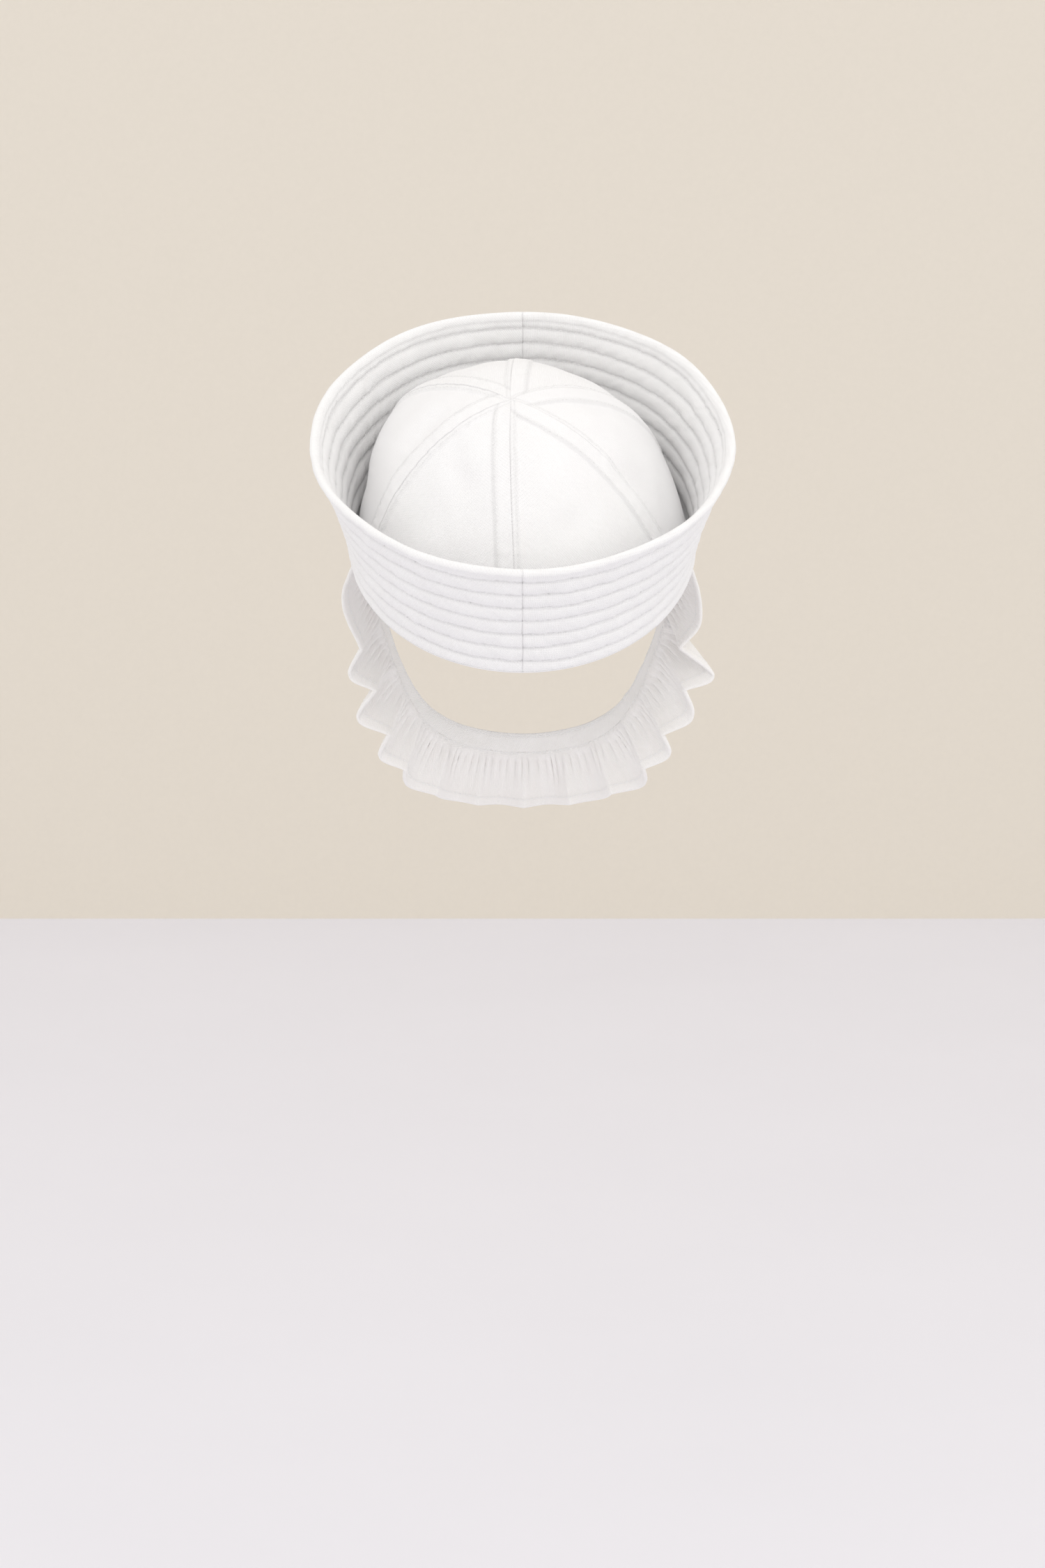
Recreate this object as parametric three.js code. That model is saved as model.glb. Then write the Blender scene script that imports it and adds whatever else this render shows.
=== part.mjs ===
// A cotton sailor cap with a ruffled strap, in its worn form: a soft six-gore crown, a tall
// turned-up brim in two quilted halves, and a gathered ruffle on a strap that hangs behind the neck.
// Millimetres. +Z is up and the front of the cap faces -Y. The origin is the centre of the head
// opening, and the cap leans forward over the brow by LEAN.
import * as THREE from "three";

const LEAN = 30;

const CLOTH = 1.2;
const GAP = 0.3;

// Half width and half length of the cap's ovals, on the outer faces.
const OPENING = { across: 88, length: 102 };
const RIM = { across: 107, length: 108 };
const CROWN = { across: 84.2, length: 98.2, height: 93 };

const BRIM_HEIGHT = 71;
const BRIM_THICKNESS = 2.5;
const BRIM_FLARE_POWER = 1.6;
const BRIM_COLUMNS = 32;
const BRIM_RISES = 6;
const FOOT_WIDTH = 6.2;
const FOOT_HEIGHT = 2.4;

const CROWN_EDGE = 3;
const CROWN_TIP_POLAR = 1;
const GORE_COLUMNS = 8;
const GORE_ROWS = 12;

// The apex sits a little to the wearer's right of the middle, where the soft crown has slumped.
const APEX_SHIFT = -6;

// Seam angles around the crown, in degrees from the front, positive towards +X.
const GORES = [
  { name: "crown_gore_front_left", from: -67, to: -2 },
  { name: "crown_gore_front_right", from: -2, to: 66 },
  { name: "crown_gore_side_right", from: 66, to: 121 },
  { name: "crown_gore_back_right", from: 121, to: 180 },
  { name: "crown_gore_back_left", from: 180, to: 235 },
  { name: "crown_gore_side_left", from: 235, to: 293 },
];

// Soft swells and dents of the crown: where they lie, how far they stand out, how wide they spread.
const CROWN_DENTS = [
  { angle: -125, polar: 62, out: 6, spread: 26 },
  { angle: -45, polar: 42, out: -2.5, spread: 16 },
  { angle: 78, polar: 58, out: -3, spread: 18 },
  { angle: 30, polar: 66, out: 1.5, spread: 20 },
];

// Half of the strap's route, from its end inside the cap to the middle of the nape: the line
// where the ruffle is sewn on. The other half mirrors it.
const STRAP_ROUTE = [
  { side: 74.6, back: 15, height: 24 },
  { side: 76.2, back: 21.5, height: 12 },
  { side: 78, back: 24, height: 0 },
  { side: 78.5, back: 25.5, height: -16 },
  { side: 76.5, back: 26.5, height: -34 },
  { side: 72.5, back: 27.5, height: -52 },
  { side: 67, back: 29, height: -69 },
  { side: 60, back: 32, height: -86 },
  { side: 50.5, back: 37.5, height: -101 },
  { side: 38, back: 44.5, height: -111 },
  { side: 20, back: 51, height: -117 },
  { side: 0, back: 53, height: -119 },
];
const NECK_AXIS_BACK = 8;
const STRAP_WIDTH = 12;
const STRAP_THICKNESS = 1.6;
const STRAP_STEPS = 64;

const RUFFLE_WIDTH = 28;
const RUFFLE_DROOP = 25;
const RUFFLE_START = 20;
const RUFFLE_STEP = 2.2;
const RUFFLE_ROWS = 2;
const GATHER_SHARE = 0.12;

// Folds of the ruffle down each side: distance along the strap from its end, and how far the free
// edge stands off the head there. Peaks and valleys take turns.
const LEFT_FOLDS = [
  { along: 20, out: 5 },
  { along: 37, out: 9 },
  { along: 66, out: 2 },
  { along: 76, out: 12 },
  { along: 88, out: 0 },
  { along: 98, out: 15 },
  { along: 111, out: 0 },
  { along: 120, out: 12 },
  { along: 130, out: 1 },
  { along: 140, out: 11 },
];
const RIGHT_FOLDS = [
  { along: 20, out: 4 },
  { along: 48, out: 9 },
  { along: 66, out: 0 },
  { along: 73, out: 22 },
  { along: 85, out: 8 },
  { along: 96, out: 18 },
  { along: 110, out: 4 },
  { along: 118, out: 14 },
  { along: 129, out: 3 },
  { along: 139, out: 15 },
];
// Behind the nape the folds repeat evenly.
const NAPE_FOLDS = { spacing: 11, valley: 1, peak: 10 };

const cloth = { roughness: 0.9, metalness: 0, side: THREE.DoubleSide };
const crownCloth = new THREE.MeshStandardMaterial({ color: 0xf6f5f4, ...cloth });
const brimCloth = new THREE.MeshStandardMaterial({ color: 0xf1f0ee, ...cloth });
const strapCloth = new THREE.MeshStandardMaterial({ color: 0xefece8, ...cloth });
const ruffleCloth = new THREE.MeshStandardMaterial({ color: 0xf5f3f0, ...cloth });

const radians = THREE.MathUtils.degToRad;
const mix = THREE.MathUtils.lerp;

// A closed body from a grid of rings: each ring is one closed loop of points, and the first and
// last rings are filled with a fan, so a ring has to be seen whole from its own middle.
function bodyFromRings(rings, fillEnd) {
  const count = rings[0].length;
  const positions = rings.flat().flatMap((point) => [point.x, point.y, point.z]);
  const index = [];
  for (let r = 0; r + 1 < rings.length; r++) {
    for (let i = 0; i < count; i++) {
      const a = r * count + i;
      const b = r * count + ((i + 1) % count);
      index.push(a, b, b + count, a, b + count, a + count);
    }
  }
  const last = (rings.length - 1) * count;
  for (const [a, b, c] of fillEnd) {
    index.push(c, b, a);
    index.push(last + a, last + b, last + c);
  }
  const geometry = new THREE.BufferGeometry();
  geometry.setAttribute("position", new THREE.Float32BufferAttribute(positions, 3));
  geometry.setIndex(index);
  geometry.computeVertexNormals();
  return geometry;
}

// The loop of points around a thin wall's cut end, as pairs: outer points forward, inner back.
function wallRing(outer, inner) {
  return [...outer, ...[...inner].reverse()];
}

// The triangles that fill the cut end of a wall with `pairs` outer and inner points.
function wallEnd(pairs) {
  const triangles = [];
  for (let i = 0; i + 1 < pairs; i++) {
    const inner = 2 * pairs - 1 - i;
    triangles.push([i, i + 1, inner - 1], [i, inner - 1, inner]);
  }
  return triangles;
}

// ---- Crown ----

// How far the cloth stands out from the smooth dome, from the table of dents.
function crownDent(angle, polar) {
  let out = 0;
  for (const dent of CROWN_DENTS) {
    const turn = THREE.MathUtils.euclideanModulo(angle - dent.angle + 180, 360) - 180;
    const sideways = turn * Math.sin(radians(polar));
    const distance = Math.hypot(sideways, polar - dent.polar) / dent.spread;
    out += dent.out * Math.exp(-distance * distance);
  }
  return out;
}

// A point of the crown: angle around from the front, polar angle down from the apex, and how deep
// in the cloth it lies.
function crownPoint(angle, polar, depth) {
  const dent = crownDent(angle, polar) * Math.sin(radians(2 * Math.min(polar, 90)));
  const grow = dent - depth;
  const reach = Math.sin(radians(polar));
  const slump = APEX_SHIFT * Math.cos(radians(polar)) ** 2;
  return new THREE.Vector3(
    (CROWN.across + grow) * reach * Math.sin(radians(angle)) + slump,
    -(CROWN.length + grow) * reach * Math.cos(radians(angle)),
    (CROWN.height + grow) * Math.cos(radians(polar)),
  );
}

function goreGeometry({ from, to }) {
  const edgePolar = THREE.MathUtils.radToDeg(Math.acos(CROWN_EDGE / CROWN.height));
  const rings = [];
  for (let column = 0; column <= GORE_COLUMNS; column++) {
    const outer = [];
    const inner = [];
    for (let row = 0; row <= GORE_ROWS; row++) {
      const polar = mix(CROWN_TIP_POLAR, edgePolar, (row / GORE_ROWS) ** 1.15);
      const radius = CROWN.across * Math.sin(radians(polar));
      const seamGap = THREE.MathUtils.radToDeg(GAP / 2 / radius);
      const angle = mix(from + seamGap, to - seamGap, column / GORE_COLUMNS);
      outer.push(crownPoint(angle, polar, 0));
      inner.push(crownPoint(angle, polar, CLOTH));
    }
    rings.push(wallRing(outer, inner));
  }
  return bodyFromRings(rings, wallEnd(GORE_ROWS + 1));
}

// ---- Brim ----

// The brim's outer oval at a height above the fold: it stands nearly straight there and flares
// towards the rim.
function brimOval(height) {
  const share = Math.max(0, height / BRIM_HEIGHT) ** BRIM_FLARE_POWER;
  return {
    across: mix(OPENING.across, RIM.across, share),
    length: mix(OPENING.length, RIM.length, share),
  };
}

// The brim's section: how far each point lies inside the outer face, and its height. The foot
// turns in under the crown's lower edge, where the two are sewn together.
function brimSection() {
  const outer = [
    { inset: 2.2, height: 0 },
    { inset: 0.6, height: 0.5 },
  ];
  const inner = [
    { inset: FOOT_WIDTH, height: FOOT_HEIGHT / 2 },
    { inset: FOOT_WIDTH - 0.8, height: FOOT_HEIGHT },
  ];
  for (let i = 0; i <= BRIM_RISES; i++) {
    outer.push({ inset: 0, height: mix(2, BRIM_HEIGHT - 1.5, i / BRIM_RISES) });
    inner.push({
      inset: BRIM_THICKNESS,
      height: mix(FOOT_HEIGHT, BRIM_HEIGHT - 1.5, i / BRIM_RISES),
    });
  }
  outer.push({ inset: 0.5, height: BRIM_HEIGHT - 0.4 });
  inner.push({ inset: BRIM_THICKNESS - 0.5, height: BRIM_HEIGHT - 0.4 });
  outer.push({ inset: BRIM_THICKNESS / 2 - 0.2, height: BRIM_HEIGHT });
  inner.push({ inset: BRIM_THICKNESS / 2 + 0.2, height: BRIM_HEIGHT });
  return { outer, inner };
}

function brimGeometry(from, to) {
  const section = brimSection();
  const seamGap = THREE.MathUtils.radToDeg(GAP / 2 / OPENING.length);
  const rings = [];
  for (let column = 0; column <= BRIM_COLUMNS; column++) {
    const angle = radians(mix(from + seamGap, to - seamGap, column / BRIM_COLUMNS));
    const place = ({ inset, height }) => {
      const oval = brimOval(height);
      return new THREE.Vector3(
        (oval.across - inset) * Math.sin(angle),
        -(oval.length - inset) * Math.cos(angle),
        height,
      );
    };
    rings.push(wallRing(section.outer.map(place), section.inner.map(place)).reverse());
  }
  const pairs = section.outer.length;
  return bodyFromRings(rings, wallEnd(pairs));
}

// ---- Strap and ruffle ----

const routePoints = [
  ...STRAP_ROUTE.map((p) => new THREE.Vector3(-p.side, p.back, p.height)),
  ...STRAP_ROUTE.slice(0, -1)
    .reverse()
    .map((p) => new THREE.Vector3(p.side, p.back, p.height)),
];
const route = new THREE.CatmullRomCurve3(routePoints, false, "centripetal");
const routeLength = route.getLength();

// The strap's own directions at a distance along it: `out` away from the neck, and `front`, in
// the cloth, towards the edge that carries the ruffle.
function strapFrame(along) {
  const share = THREE.MathUtils.clamp(along / routeLength, 0, 1);
  const point = route.getPointAt(share);
  const ahead = route.getTangentAt(share);
  const out = new THREE.Vector3(point.x, point.y - NECK_AXIS_BACK, 0).normalize();
  const front = new THREE.Vector3().crossVectors(out, ahead).normalize();
  return { point, ahead, out, front };
}

function strapGeometry() {
  const rings = [];
  for (let step = 0; step <= STRAP_STEPS; step++) {
    const { point, out, front } = strapFrame((routeLength * step) / STRAP_STEPS);
    const corner = (forward, outward) =>
      point.clone().addScaledVector(front, forward).addScaledVector(out, outward);
    rings.push([
      corner(-GAP - STRAP_WIDTH, -STRAP_THICKNESS / 2),
      corner(-GAP, -STRAP_THICKNESS / 2),
      corner(-GAP, STRAP_THICKNESS / 2),
      corner(-GAP - STRAP_WIDTH, STRAP_THICKNESS / 2),
    ]);
  }
  return bodyFromRings(rings, wallEnd(2));
}

// All folds in order from the left end to the right end, with the even ones behind the nape.
function ruffleFolds() {
  const left = LEFT_FOLDS;
  const right = RIGHT_FOLDS.map(({ along, out }) => ({ along: routeLength - along, out })).reverse();
  const start = left[left.length - 1].along;
  const span = right[0].along - start;
  const halves = 2 * Math.round(span / NAPE_FOLDS.spacing / 2);
  const nape = [];
  for (let i = 1; i < halves; i++) {
    const out = i % 2 ? NAPE_FOLDS.valley : NAPE_FOLDS.peak;
    nape.push({ along: start + (span * i) / halves, out });
  }
  return [...left, ...nape, ...right];
}
const folds = ruffleFolds();

// How far the free edge stands off at a distance along the strap: a smooth wave through the folds.
function foldOut(along) {
  const next = folds.findIndex((fold) => fold.along >= along);
  if (next === 0) return folds[0].out;
  if (next < 0) return folds[folds.length - 1].out;
  const before = folds[next - 1];
  const after = folds[next];
  const share = (along - before.along) / (after.along - before.along);
  return mix(before.out, after.out, (1 - Math.cos(Math.PI * share)) / 2);
}

// A point on the ruffle's middle surface: share 0 is the gathered edge and 1 the free edge.
function rufflePoint(along, share) {
  const { point, out, front } = strapFrame(along);
  const hang = new THREE.Vector3(0, 0, -1);
  const fall = front
    .clone()
    .multiplyScalar(Math.cos(radians(RUFFLE_DROOP)))
    .addScaledVector(hang, Math.sin(radians(RUFFLE_DROOP)))
    .normalize();
  const wave = foldOut(along) * mix(GATHER_SHARE, 1, share);
  return point.clone().addScaledVector(fall, RUFFLE_WIDTH * share).addScaledVector(out, wave);
}

function ruffleGeometry() {
  const length = routeLength - 2 * RUFFLE_START;
  const steps = Math.round(length / RUFFLE_STEP);
  const rings = [];
  for (let step = 0; step <= steps; step++) {
    const along = RUFFLE_START + (length * step) / steps;
    const outer = [];
    const inner = [];
    for (let row = 0; row <= RUFFLE_ROWS; row++) {
      const share = row / RUFFLE_ROWS;
      const point = rufflePoint(along, share);
      const ahead = rufflePoint(along + 0.2, share).sub(rufflePoint(along - 0.2, share));
      const widthways = rufflePoint(along, 1).sub(rufflePoint(along, 0));
      const normal = new THREE.Vector3().crossVectors(widthways, ahead).normalize();
      outer.push(point.clone().addScaledVector(normal, CLOTH / 2));
      inner.push(point.clone().addScaledVector(normal, -CLOTH / 2));
    }
    rings.push(wallRing(outer, inner));
  }
  return bodyFromRings(rings, wallEnd(RUFFLE_ROWS + 1));
}

// ---- Assembly ----

function piece(name, geometry, material) {
  const mesh = new THREE.Mesh(geometry, material);
  mesh.name = name;
  return mesh;
}

const cap = new THREE.Group();
for (const gore of GORES) {
  cap.add(piece(gore.name, goreGeometry(gore), crownCloth));
}
cap.add(piece("brim_right", brimGeometry(0, 180), brimCloth));
cap.add(piece("brim_left", brimGeometry(180, 360), brimCloth));
cap.rotation.x = radians(LEAN);

const sailorCap = new THREE.Group();
sailorCap.add(cap);
sailorCap.add(piece("strap", strapGeometry(), strapCloth));
sailorCap.add(piece("ruffle", ruffleGeometry(), ruffleCloth));

export default sailorCap;
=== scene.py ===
"""A cotton sailor cap: a soft crown of six gores, a quilted turned-up brim in two halves, and a
gathered ruffle on a strap that hangs behind the neck. Cloth shapes are worked out in millimetres
and turned into metres as each mesh is made."""

import math

import bpy
import numpy as np
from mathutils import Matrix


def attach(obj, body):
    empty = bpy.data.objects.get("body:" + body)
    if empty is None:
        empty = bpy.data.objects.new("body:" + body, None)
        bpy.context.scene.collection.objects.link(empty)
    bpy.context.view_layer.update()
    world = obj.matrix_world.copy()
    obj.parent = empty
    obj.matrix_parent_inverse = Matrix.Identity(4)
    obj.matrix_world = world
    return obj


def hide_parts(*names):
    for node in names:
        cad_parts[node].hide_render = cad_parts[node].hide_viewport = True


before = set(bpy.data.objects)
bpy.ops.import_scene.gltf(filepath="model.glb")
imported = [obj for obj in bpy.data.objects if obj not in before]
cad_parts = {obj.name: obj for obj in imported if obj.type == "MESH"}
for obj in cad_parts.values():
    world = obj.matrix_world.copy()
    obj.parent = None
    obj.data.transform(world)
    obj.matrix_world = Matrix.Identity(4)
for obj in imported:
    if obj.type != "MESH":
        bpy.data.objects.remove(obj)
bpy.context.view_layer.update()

# ---- The room ----
# A plain pale floor and a canvas backdrop behind it, a long lens looking a little down at the cap
# from in front, and soft studio light from above, from in front and from both sides.

CAMERA_PLACE = (0, -2.477, 0.358)
CAMERA_PITCH_DOWN = 11
CAMERA_LENS = 112
FLOOR_HEIGHT = -0.9
BACKDROP_BACK = 3.16
ROOM_WIDTH = 9
ROOM_FRONT = -5
BACKDROP_HEIGHT = 4
WALL_BEIGE = (0.82, 0.765, 0.672, 1)
FLOOR_LILAC = (0.875, 0.87, 0.93, 1)
FLOOR_GRAIN = 0.3
CANVAS_GRAIN = 0.006
GRAIN_TONE = 0.965
SHEET_ROUGHNESS = 0.95
STUDIO_WHITE = (1.0, 0.985, 0.97)
SOFT_LIGHTS = [
    {"name": "overhead_softbox", "at": (0.1, -0.3, 1.9), "size": 1.6, "watts": 2},
    {"name": "front_softbox", "at": (0.1, -2.6, 2.1), "size": 1.5, "watts": 12},
    {"name": "left_softbox", "at": (-2.2, -1.2, 0.7), "size": 1.4, "watts": 1},
    {"name": "right_softbox", "at": (2.2, -1.5, 0.9), "size": 1.6, "watts": 4},
]
WORLD_STRENGTH = 0.98

camera = bpy.data.objects.new("camera", bpy.data.cameras.new("camera"))
camera.data.lens = CAMERA_LENS
camera.location = CAMERA_PLACE
camera.rotation_euler = (math.radians(90 - CAMERA_PITCH_DOWN), 0, 0)
bpy.context.scene.collection.objects.link(camera)
bpy.context.scene.camera = camera
bpy.context.scene.view_settings.view_transform = "Standard"

world = bpy.data.worlds.new("studio_air")
world.use_nodes = True
world.node_tree.nodes["Background"].inputs["Color"].default_value = (*STUDIO_WHITE, 1)
world.node_tree.nodes["Background"].inputs["Strength"].default_value = WORLD_STRENGTH
bpy.context.scene.world = world

for light in SOFT_LIGHTS:
    lamp = bpy.data.lights.new(light["name"], "AREA")
    lamp.size = light["size"]
    lamp.energy = light["watts"]
    lamp.color = STUDIO_WHITE
    softbox = bpy.data.objects.new(light["name"], lamp)
    softbox.location = light["at"]
    toward_cap = -softbox.location
    softbox.rotation_euler = toward_cap.to_track_quat("-Z", "Y").to_euler()
    bpy.context.scene.collection.objects.link(softbox)


class Nodes:
    """Adds nodes to a tree and joins them: a value given for a socket is set, a socket is linked.
    Sockets go by name, or by place where names repeat, so that i2 is the third."""

    def __init__(self, tree):
        self.tree = tree

    def add(self, kind, settings=None, **inputs):
        node = self.tree.nodes.new(kind)
        for name, value in (settings or {}).items():
            setattr(node, name, value)
        for name, value in inputs.items():
            key = int(name[1:]) if name[1:].isdigit() else name.replace("_", " ")
            socket = node.inputs[key]
            if isinstance(value, bpy.types.NodeSocket):
                self.tree.links.new(value, socket)
            else:
                socket.default_value = value
        return node

    def math(self, operation, *values):
        sockets = {f"i{i}": value for i, value in enumerate(values)}
        return self.add("ShaderNodeMath", {"operation": operation}, **sockets).outputs[0]

    def mix(self, factor, low, high):
        mixer = self.add("ShaderNodeMix", {"data_type": "RGBA"}, i0=factor, i6=low, i7=high)
        return mixer.outputs[2]


def new_material(name, roughness):
    """A material with one Principled shader; returns it, the shader and a node builder."""
    material = bpy.data.materials.new(name)
    material.use_nodes = True
    shader = material.node_tree.nodes["Principled BSDF"]
    shader.inputs["Roughness"].default_value = roughness
    return material, shader, Nodes(material.node_tree)


def toned(colour, tone):
    """The colour made darker or paler, but never brighter than white."""
    return tuple(min(1, tone * part) for part in colour[:3]) + (1,)


def room_sheet(name, corners, colour, grain_size):
    """A flat sheet of the room with a faint grain in its colour."""
    mesh = bpy.data.meshes.new(name)
    mesh.from_pydata(corners, [], [(0, 1, 2, 3)])
    sheet = bpy.data.objects.new(name, mesh)
    bpy.context.scene.collection.objects.link(sheet)
    material, shader, nodes = new_material(name, SHEET_ROUGHNESS)
    place = nodes.add("ShaderNodeTexCoord").outputs["Object"]
    grain = nodes.add("ShaderNodeTexNoise", Vector=place, Scale=1 / grain_size, Detail=4.0)
    blend = nodes.mix(grain.outputs["Fac"], toned(colour, GRAIN_TONE), colour)
    material.node_tree.links.new(blend, shader.inputs["Base Color"])
    mesh.materials.append(material)


half_room = ROOM_WIDTH / 2
room_sheet(
    "floor",
    [
        (-half_room, ROOM_FRONT, FLOOR_HEIGHT),
        (half_room, ROOM_FRONT, FLOOR_HEIGHT),
        (half_room, BACKDROP_BACK, FLOOR_HEIGHT),
        (-half_room, BACKDROP_BACK, FLOOR_HEIGHT),
    ],
    FLOOR_LILAC,
    FLOOR_GRAIN,
)
room_sheet(
    "canvas_backdrop",
    [
        (-half_room, BACKDROP_BACK, FLOOR_HEIGHT),
        (half_room, BACKDROP_BACK, FLOOR_HEIGHT),
        (half_room, BACKDROP_BACK, BACKDROP_HEIGHT),
        (-half_room, BACKDROP_BACK, BACKDROP_HEIGHT),
    ],
    WALL_BEIGE,
    CANVAS_GRAIN,
)

# ---- Crown gores ----
# Six gores of white cotton drill, joined edge to edge by flat-felled seams: each seam's spare
# cloth is folded to one side and held down by two rows of stitching. Worn, the cloth sags softly.

MM = 0.001
LEAN = math.radians(30)
CLOTH = 1.2
CROWN_ACROSS = 84.2
CROWN_LENGTH = 98.2
CROWN_RISE = 93
CROWN_TIP_POLAR = 0.08
CROWN_EDGE_HEIGHT = 3
APEX_SHIFT = -6
# Even radii that stand for the crown's oval ones where cloth is measured: round it, and down it.
CROWN_GIRTH_RADIUS = 91
MERIDIAN_RADIUS = 92.5
# How much of the outside's relief shows on the inside of the cloth.
INSIDE_RELIEF = 0.5
# Seam angles round the crown, in degrees from the front, and the CAD node of the gore after each.
GORE_SEAMS = [
    (-67, -2, "crown_gore_front_left"),
    (-2, 66, "crown_gore_front_right"),
    (66, 121, "crown_gore_side_right"),
    (121, 180, "crown_gore_back_right"),
    (180, 235, "crown_gore_back_left"),
    (235, 293, "crown_gore_side_left"),
]
# Soft swells and dents: (angle, polar angle, how far out, spread in degrees).
CROWN_SWELLS = [
    (-125, 62, 6, 26),
    (-45, 42, -2.5, 16),
    (78, 58, -3, 18),
    (30, 66, 1.5, 20),
]
# Creases: (angle and polar angle of each end, how far out, half width in degrees).
CROWN_CREASES = [
    ((-62, 22), (-18, 40), -2.2, 4.2),
    ((-100, 20), (-72, 44), -2.4, 4.0),
    ((96, 16), (112, 40), -1.4, 4.0),
    ((60, 36), (84, 62), -2.4, 5.0),
    ((-30, 52), (-58, 70), 1.6, 6.0),
    ((14, 48), (40, 44), -1.4, 5.0),
    ((150, 40), (166, 66), -1.3, 5.0),
    ((-150, 34), (-164, 60), -1.4, 4.5),
    ((-92, 66), (-112, 80), -1.5, 5.0),
]
# A felled seam: the raised band lies mostly on the side before the seam line.
FELL_BEFORE = 9.4
FELL_AFTER = 3.4
FELL_RISE = 1.1
FELL_ROW_BEFORE = 8.0
FELL_ROW_AFTER = 2.3
FELL_SHOULDER_BEFORE = 0.6
FELL_SHOULDER_AFTER = 0.5
STITCH_DIP = 0.6
STITCH_DIP_HALF_WIDTH = 0.8
STITCH_PULL = 0.72
STITCH_PULL_SPREAD = 0.5
SEAM_VALLEY = 0.3
SEAM_LIP = 0.12
SEAM_PUCKER = 0.28
SEAM_PUCKER_REACH = 7
SEAM_ZONE = 14
SEAM_COLUMNS = 18
MIDDLE_COLUMNS = 22
GORE_ROWS = 150
CROWN_RUMPLE = 0.55
CREASE_END = 0.08
NOISE_PERIOD = 64
CROWN_STITCH_TOP = 7
CROWN_STITCH_POINTS = 90


def ease(share):
    """A share from 0 to 1 with a smooth start and stop."""
    return share * share * (3 - 2 * share)


def soft_noise(x, y, seed):
    """Smooth random hills from -1 to 1 that repeat every NOISE_PERIOD units."""
    lattice = np.random.default_rng(seed).uniform(-1, 1, (NOISE_PERIOD, NOISE_PERIOD))
    column, row = np.floor(x).astype(int), np.floor(y).astype(int)
    right, up = ease(x - column), ease(y - row)
    here, there = column % NOISE_PERIOD, (column + 1) % NOISE_PERIOD
    low, high = row % NOISE_PERIOD, (row + 1) % NOISE_PERIOD
    below = lattice[here, low] * (1 - right) + lattice[there, low] * right
    above = lattice[here, high] * (1 - right) + lattice[there, high] * right
    return below * (1 - up) + above * up


def bump_line(distance, half_width):
    """1 on a line, falling smoothly to 0 on both sides."""
    return np.exp(-((distance / half_width) ** 2))


def turn_from(start, angle):
    """The shorter way round from one angle to another, in degrees."""
    return (angle - start + 180) % 360 - 180


def crown_shape(angle, polar):
    """How far the crown's cloth stands out from its smooth dome, in millimetres."""
    out = np.zeros(np.broadcast(angle, polar).shape)
    sideways_scale = np.sin(np.radians(polar))
    for swell_angle, swell_polar, rise, spread in CROWN_SWELLS:
        turn = turn_from(swell_angle, angle)
        out += rise * np.exp(-((turn * sideways_scale) ** 2 + (polar - swell_polar) ** 2) / spread**2)
    out *= np.sin(np.radians(2 * polar))
    for (angle_a, polar_a), (angle_b, polar_b), rise, half_width in CROWN_CREASES:
        middle = math.radians((polar_a + polar_b) / 2)
        run = np.array([(angle_b - angle_a) * math.sin(middle), polar_b - polar_a])
        turn = turn_from(angle_a, angle)
        side, down = turn * sideways_scale, polar - polar_a
        share = np.clip((side * run[0] + down * run[1]) / (run @ run), 0, 1)
        apart = np.hypot(side - share * run[0], down - share * run[1])
        fade = np.sin(np.pi * np.clip(share, CREASE_END, 1 - CREASE_END))
        out += rise * bump_line(apart, half_width) * fade
    out += CROWN_RUMPLE * soft_noise(angle / 17 + 9, polar / 15, 5) * sideways_scale
    return out


def crown_point(angle, polar, lift):
    """Points of the crown, `lift` millimetres outside its smooth dome."""
    turn, down = np.radians(angle), np.radians(polar)
    grow = crown_shape(angle, polar) + lift
    x = (CROWN_ACROSS + grow) * np.sin(down) * np.sin(turn) + APEX_SHIFT * np.cos(down) ** 2
    y = -(CROWN_LENGTH + grow) * np.sin(down) * np.cos(turn)
    z = (CROWN_RISE + grow) * np.cos(down)
    return lean(np.stack([x, y, z], -1))


def lean(points):
    """Turns points from the cap's own upright frame to how it is worn, forward over the brow."""
    x, y, z = np.moveaxis(points, -1, 0)
    tilted_y = y * math.cos(LEAN) - z * math.sin(LEAN)
    tilted_z = y * math.sin(LEAN) + z * math.cos(LEAN)
    return np.stack([x, tilted_y, tilted_z], -1)


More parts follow.
